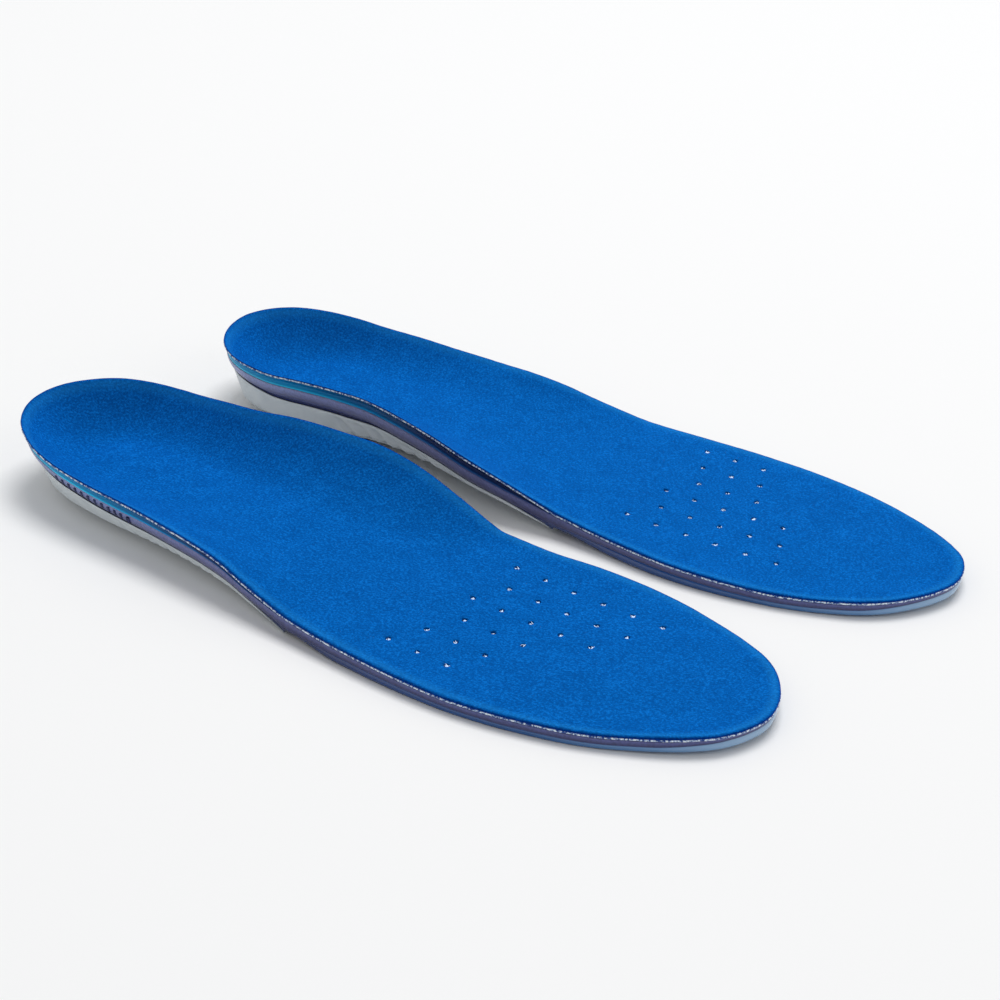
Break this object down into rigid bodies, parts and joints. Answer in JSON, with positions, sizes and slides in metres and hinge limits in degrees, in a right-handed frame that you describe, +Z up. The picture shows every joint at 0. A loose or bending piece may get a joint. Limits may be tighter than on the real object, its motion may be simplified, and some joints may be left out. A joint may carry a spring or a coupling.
{
  "type": "cushioned insole pair",
  "caption": "Pair of full-length cushioned shoe insoles with a velour cover, a deep heel cup, a raised arch, layered gel and foam side walls and a moulded cradle under heel and arch.",
  "frame": {"origin": "middle of the pair's box in plan, on the surface that both insoles stand on", "axes": "+X from heels to toes, +Y towards the left insole, +Z up"},
  "size_m": [0.2937, 0.201, 0.026],
  "materials": {
    "top_cover": "brushed knitted velour, soft and matt",
    "cover_backing": "fuzzy white knit backing, seen as the cut edge of the cover",
    "upper_gel": "glossy moulded soft polyurethane gel",
    "foam_midsole": "satin moulded foam",
    "gel_base": "glossy translucent soft polyurethane gel",
    "arch_cradle": "matt moulded thermoplastic rubber",
    "heel_pad": "smooth soft gel"
  },
  "bodies": {
    "right_rear": {"right_top_cover_rear": "top_cover", "right_cover_backing_rear": "cover_backing", "right_foam_midsole_rear": "foam_midsole", "right_gel_base_rear": "gel_base", "right_upper_gel": "upper_gel", "right_arch_cradle": "arch_cradle", "right_heel_pad": "heel_pad"},
    "right_forefoot": {"right_top_cover_forefoot": "top_cover", "right_cover_backing_forefoot": "cover_backing", "right_foam_midsole_forefoot": "foam_midsole", "right_gel_base_forefoot": "gel_base"},
    "left_rear": {"left_top_cover_rear": "top_cover", "left_cover_backing_rear": "cover_backing", "left_foam_midsole_rear": "foam_midsole", "left_gel_base_rear": "gel_base", "left_upper_gel": "upper_gel", "left_arch_cradle": "arch_cradle", "left_heel_pad": "heel_pad"},
    "left_forefoot": {"left_top_cover_forefoot": "top_cover", "left_cover_backing_forefoot": "cover_backing", "left_foam_midsole_forefoot": "foam_midsole", "left_gel_base_forefoot": "gel_base"}
  },
  "joints": [
    {"name": "right_toe_flex", "type": "hinge", "parent": "right_rear", "child": "right_forefoot", "pos_m": [0.02707, -0.05125, 0.00768], "axis": [-0.2309, -0.973, 0], "range_deg": [0, 40], "stiffness_Nm_per_rad": 0.08},
    {"name": "left_lift", "type": "slide", "parent": "right_rear", "child": "left_rear", "axis": [0, 0, 1], "range_m": [0, 0.1]},
    {"name": "left_toe_flex", "type": "hinge", "parent": "left_rear", "child": "left_forefoot", "pos_m": [0.03357, 0.05125, 0.00768], "axis": [0.2309, -0.973, 0], "range_deg": [0, 40], "stiffness_Nm_per_rad": 0.08}
  ]
}
